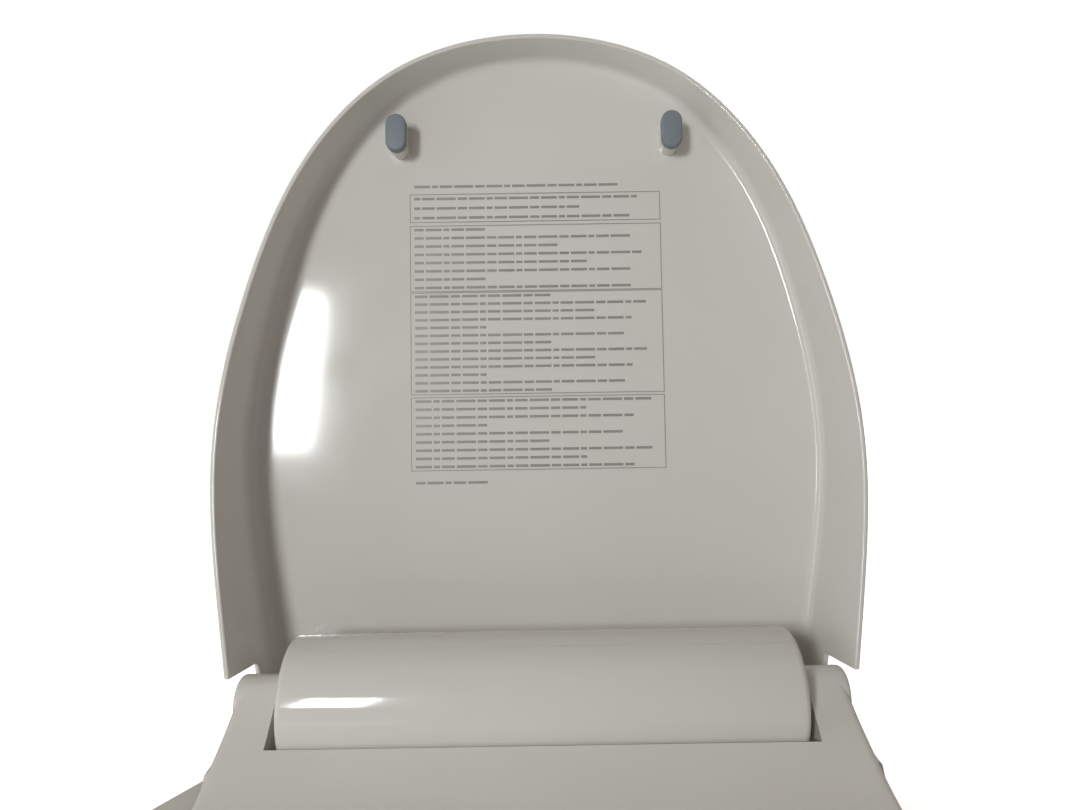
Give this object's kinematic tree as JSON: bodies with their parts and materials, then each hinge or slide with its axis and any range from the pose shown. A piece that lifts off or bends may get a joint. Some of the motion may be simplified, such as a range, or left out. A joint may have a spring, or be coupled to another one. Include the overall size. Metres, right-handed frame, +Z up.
{
  "type": "electric bidet seat",
  "caption": "Electric bidet seat with a tray-shaped lid standing open, heated seat, barrel hinge cover and a side control panel.",
  "frame": {"origin": "midway between the two mounting bolts, on the plane of the bowl rim", "axes": "+X across the bowl away from the control panel, -Y to the front of the bowl, +Z up along the bolts"},
  "size_m": [0.4694, 0.5231, 0.5768],
  "materials": {
    "ivory": "glossy moulded plastic",
    "grey_rubber": "matt rubber",
    "foil": "foil",
    "white_plastic": "satin moulded plastic",
    "dark_plastic": "satin moulded plastic",
    "steel": "brushed",
    "brass": "machined",
    "board_green": "solder mask",
    "button_grey": "satin",
    "button_orange": "satin",
    "button_blue": "satin",
    "button_pink": "satin",
    "lens": "smoked, glossy"
  },
  "bodies": {
    "main_unit": {"hinge_cover": "ivory", "hinge_pins": "steel", "hinge_brackets": "steel", "lid_damper": "dark_plastic", "seat_damper": "dark_plastic", "base_case": "ivory", "upper_case": "ivory", "case_screws": "steel", "base_feet": "grey_rubber", "mount_plate": "white_plastic", "mount_bolts": "steel", "nozzle_guide": "white_plastic", "nozzle_drive": "dark_plastic", "heater_tank": "white_plastic", "solenoid_valve": "dark_plastic", "water_inlet": "brass", "water_pump": "dark_plastic", "water_hoses": "grey_rubber", "main_board": "board_green", "board_components": "dark_plastic", "power_supply": "dark_plastic", "cord_gland": "dark_plastic", "fan_housing": "dark_plastic", "panel_lower": "ivory", "panel_upper": "ivory", "indicator_lens": "lens", "panel_board": "board_green", "tact_switches": "dark_plastic", "panel_screws": "steel"},
    "lid": {"lid_shell": "ivory", "lid_bumpers": "grey_rubber"},
    "seat": {"seat_top": "ivory", "seat_bottom": "ivory", "seat_heater": "foil", "seat_feet": "grey_rubber", "seat_hinge_bushes": "white_plastic"},
    "nozzle": {"wash_nozzle": "steel", "nozzle_tip": "white_plastic"},
    "fan": {"fan_wheel": "white_plastic"},
    "filter": {"filter_cartridge": "ivory"},
    "release": {"release_button": "button_grey"},
    "button_stop_body": {"button_stop": "button_orange"},
    "button_rear_body": {"button_rear": "button_blue"},
    "button_front_body": {"button_front": "button_pink"},
    "button_air_body": {"button_air": "button_grey"},
    "button_less_body": {"button_less": "button_grey"},
    "button_more_body": {"button_more": "button_grey"}
  },
  "joints": [
    {"name": "lid_hinge", "type": "hinge", "parent": "main_unit", "child": "lid", "pos_m": [0, -0.038, 0.101], "axis": [-1, 0, 0], "range_deg": [-113.7, 0]},
    {"name": "seat_hinge", "type": "hinge", "parent": "main_unit", "child": "seat", "pos_m": [0, -0.038, 0.101], "axis": [-1, 0, 0], "range_deg": [0, 100]},
    {"name": "nozzle_slide", "type": "slide", "parent": "main_unit", "child": "nozzle", "axis": [0, -0.9336, -0.3584], "range_m": [0, 0.09]},
    {"name": "fan_spin", "type": "hinge", "parent": "main_unit", "child": "fan", "pos_m": [0.145, -0.014, 0.02], "axis": [0, 0, 1], "continuous": true},
    {"name": "filter_slide", "type": "slide", "parent": "main_unit", "child": "filter", "axis": [1, 0, 0], "range_m": [0, 0.06]},
    {"name": "release_press", "type": "slide", "parent": "main_unit", "child": "release", "axis": [1, 0, 0], "range_m": [0, 0.002], "stiffness_N_per_m": 500},
    {"name": "stop_press", "type": "slide", "parent": "main_unit", "child": "button_stop_body", "axis": [0, 0, -1], "range_m": [0, 0.0012], "stiffness_N_per_m": 500},
    {"name": "rear_press", "type": "slide", "parent": "main_unit", "child": "button_rear_body", "axis": [0, 0, -1], "range_m": [0, 0.0012], "stiffness_N_per_m": 500},
    {"name": "front_press", "type": "slide", "parent": "main_unit", "child": "button_front_body", "axis": [0, 0, -1], "range_m": [0, 0.0012], "stiffness_N_per_m": 500},
    {"name": "air_press", "type": "slide", "parent": "main_unit", "child": "button_air_body", "axis": [0, 0, -1], "range_m": [0, 0.0012], "stiffness_N_per_m": 500},
    {"name": "less_press", "type": "slide", "parent": "main_unit", "child": "button_less_body", "axis": [0, 0, -1], "range_m": [0, 0.0012], "stiffness_N_per_m": 500},
    {"name": "more_press", "type": "slide", "parent": "main_unit", "child": "button_more_body", "axis": [0, 0, -1], "range_m": [0, 0.0012], "stiffness_N_per_m": 500}
  ]
}
